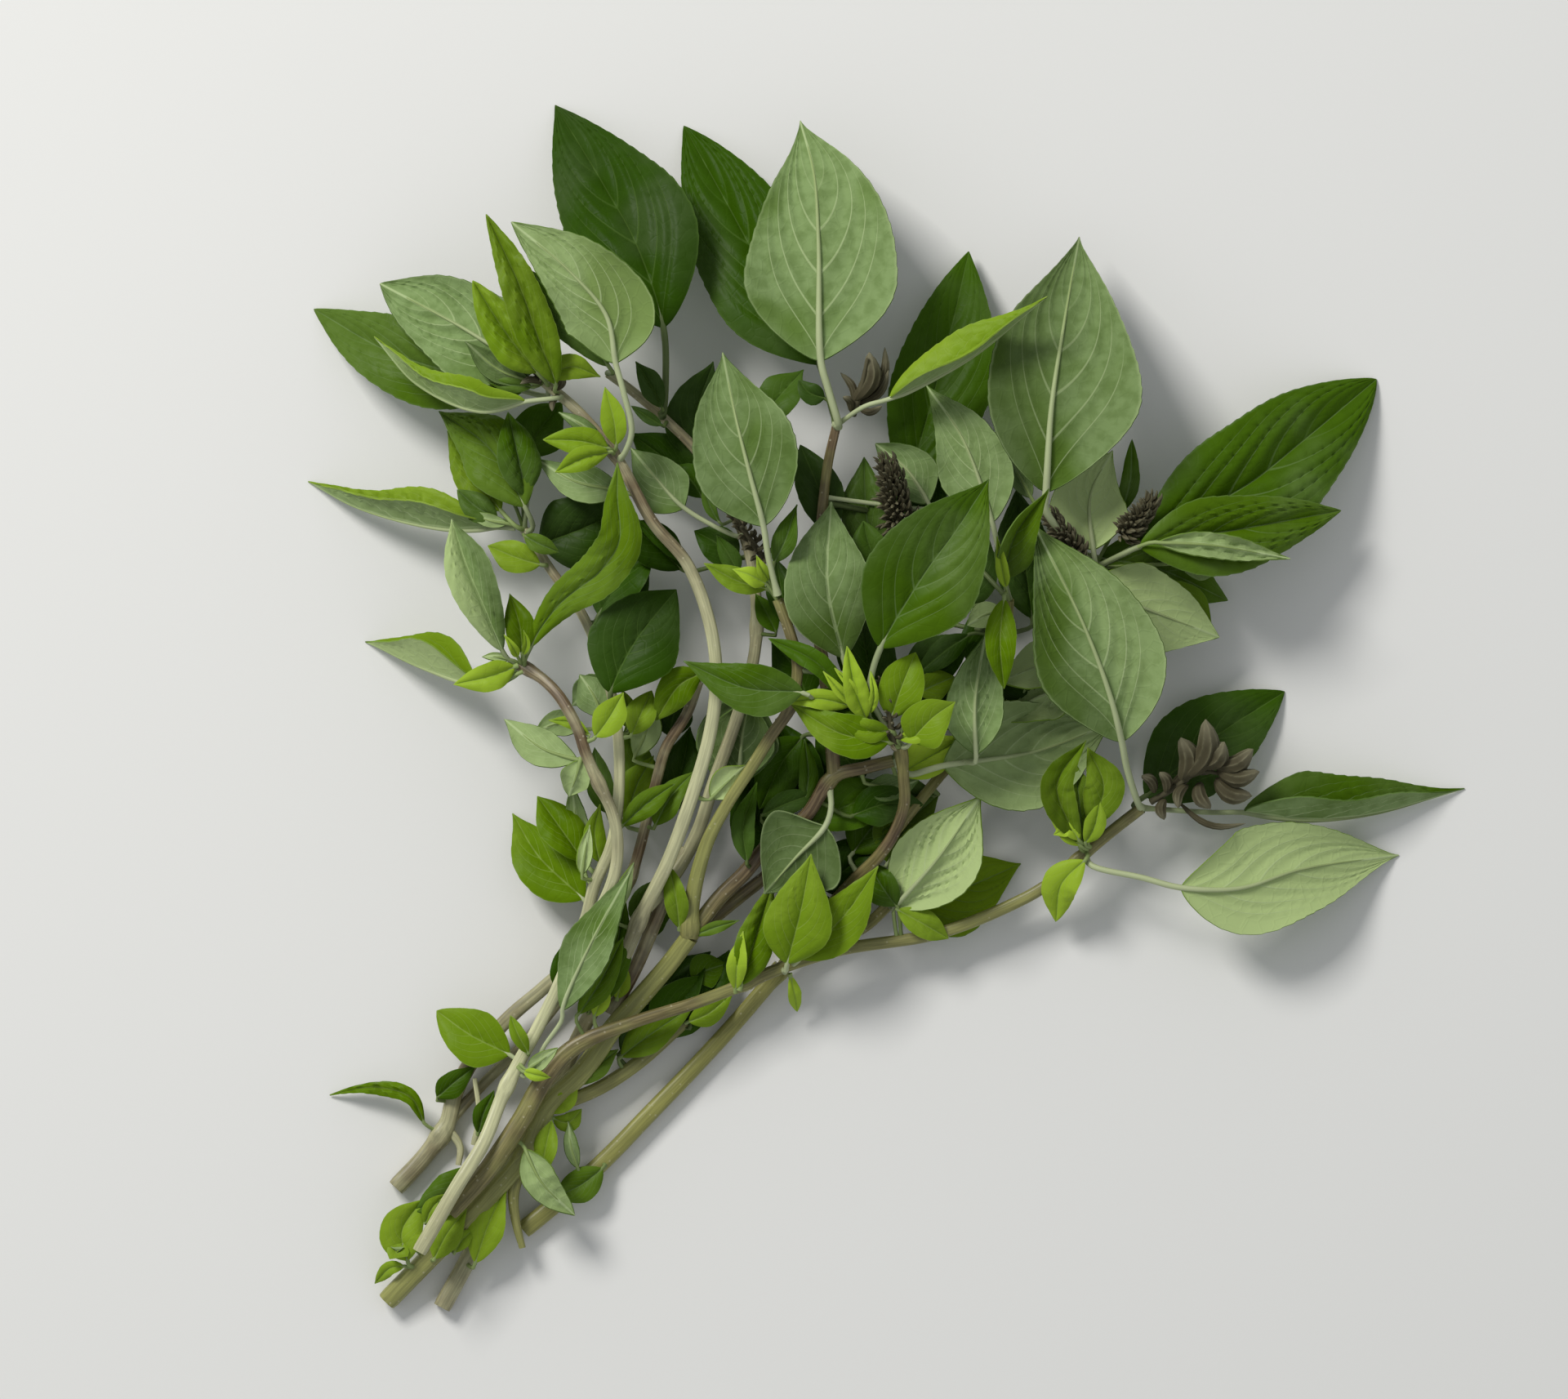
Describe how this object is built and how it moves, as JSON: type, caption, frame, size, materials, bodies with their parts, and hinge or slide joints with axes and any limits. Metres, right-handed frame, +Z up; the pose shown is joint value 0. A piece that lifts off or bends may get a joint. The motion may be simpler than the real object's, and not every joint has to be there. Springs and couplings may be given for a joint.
{
  "type": "basil bunch",
  "caption": "Loose bunch of cut Thai basil lying on its side: square, branching stems at one end, fanning out into pointed oval leaves and dark flower spikes.",
  "frame": {"origin": "on the surface the bunch lies on, under the middle of its bounding box", "axes": "+Z up from the surface, +Y along the longer side of the bunch with the cut ends at -X -Y and the leafy tips at +X +Y"},
  "size_m": [0.2569, 0.268, 0.0443],
  "materials": {
    "pale_stem": "smooth green stem with a cream skin, satin",
    "olive_stem": "smooth olive stem, satin",
    "brown_stem": "stem flushed purple brown, satin",
    "dark_leaf": "dark upper side of a leaf, satin",
    "green_leaf": "mid green upper side of a leaf, satin",
    "bright_leaf": "young yellow green leaf, satin",
    "leaf_underside": "pale grey green underside of a leaf, matte",
    "flower": "dark purple brown calyces, matte and hairy"
  },
  "bodies": {
    "root": {"long_pale_stem": "pale_stem", "lower_left_stem": "pale_stem", "crooked_pale_stem": "pale_stem", "middle_trunk": "brown_stem", "right_purple_stem": "brown_stem", "olive_trunk": "olive_stem", "pale_curled_leaf": "leaf_underside", "far_left_leaf": "green_leaf", "upper_left_underside_leaf": "leaf_underside", "left_folded_leaf": "leaf_underside", "crinkled_leaf": "bright_leaf", "twisted_tip_leaf": "bright_leaf", "left_upper_leaf": "green_leaf", "left_hanging_leaf": "bright_leaf", "left_pointing_leaf": "leaf_underside", "arching_leaf": "green_leaf", "left_tall_leaf": "green_leaf", "left_cupped_leaf": "leaf_underside", "middle_left_leaf": "leaf_underside", "beside_stem_leaf": "leaf_underside", "dark_middle_leaf": "dark_leaf", "pale_middle_leaf": "leaf_underside", "inner_pale_leaf": "leaf_underside", "bright_edged_leaf": "green_leaf", "bright_cross_leaf": "bright_leaf", "crown_left_leaf": "bright_leaf", "crown_right_leaf": "bright_leaf", "top_left_leaf": "dark_leaf", "top_middle_leaf": "dark_leaf", "top_right_pale_leaf": "leaf_underside", "top_folded_leaf": "bright_leaf", "dark_triangle_leaf": "dark_leaf", "right_underside_leaf": "leaf_underside", "right_behind_leaf": "leaf_underside", "inner_right_leaf": "leaf_underside", "upright_folded_leaf": "green_leaf", "right_central_leaf": "leaf_underside", "upper_right_leaf": "dark_leaf", "right_narrow_leaf": "green_leaf", "right_lower_leaf": "green_leaf", "right_pale_lower_leaf": "leaf_underside", "behind_flower_leaf": "dark_leaf", "far_right_folded_leaf": "green_leaf", "far_right_pale_leaf": "leaf_underside", "twisted_left_leaf": "bright_leaf", "twisted_right_leaf": "bright_leaf", "stalked_pale_leaf": "leaf_underside", "dark_low_leaf": "dark_leaf", "pale_low_leaf": "leaf_underside", "bright_front_leaf": "bright_leaf", "bright_side_leaf": "bright_leaf", "grey_green_leaf": "leaf_underside", "bright_veined_leaf": "bright_leaf", "long_lower_leaf": "leaf_underside", "lower_left_leaf": "bright_leaf", "top_flower_spike": "flower", "middle_flower_spike": "flower", "right_flower_spike": "flower", "outer_flower_spike": "flower", "largest_flower_spike": "flower"}
  },
  "joints": []
}
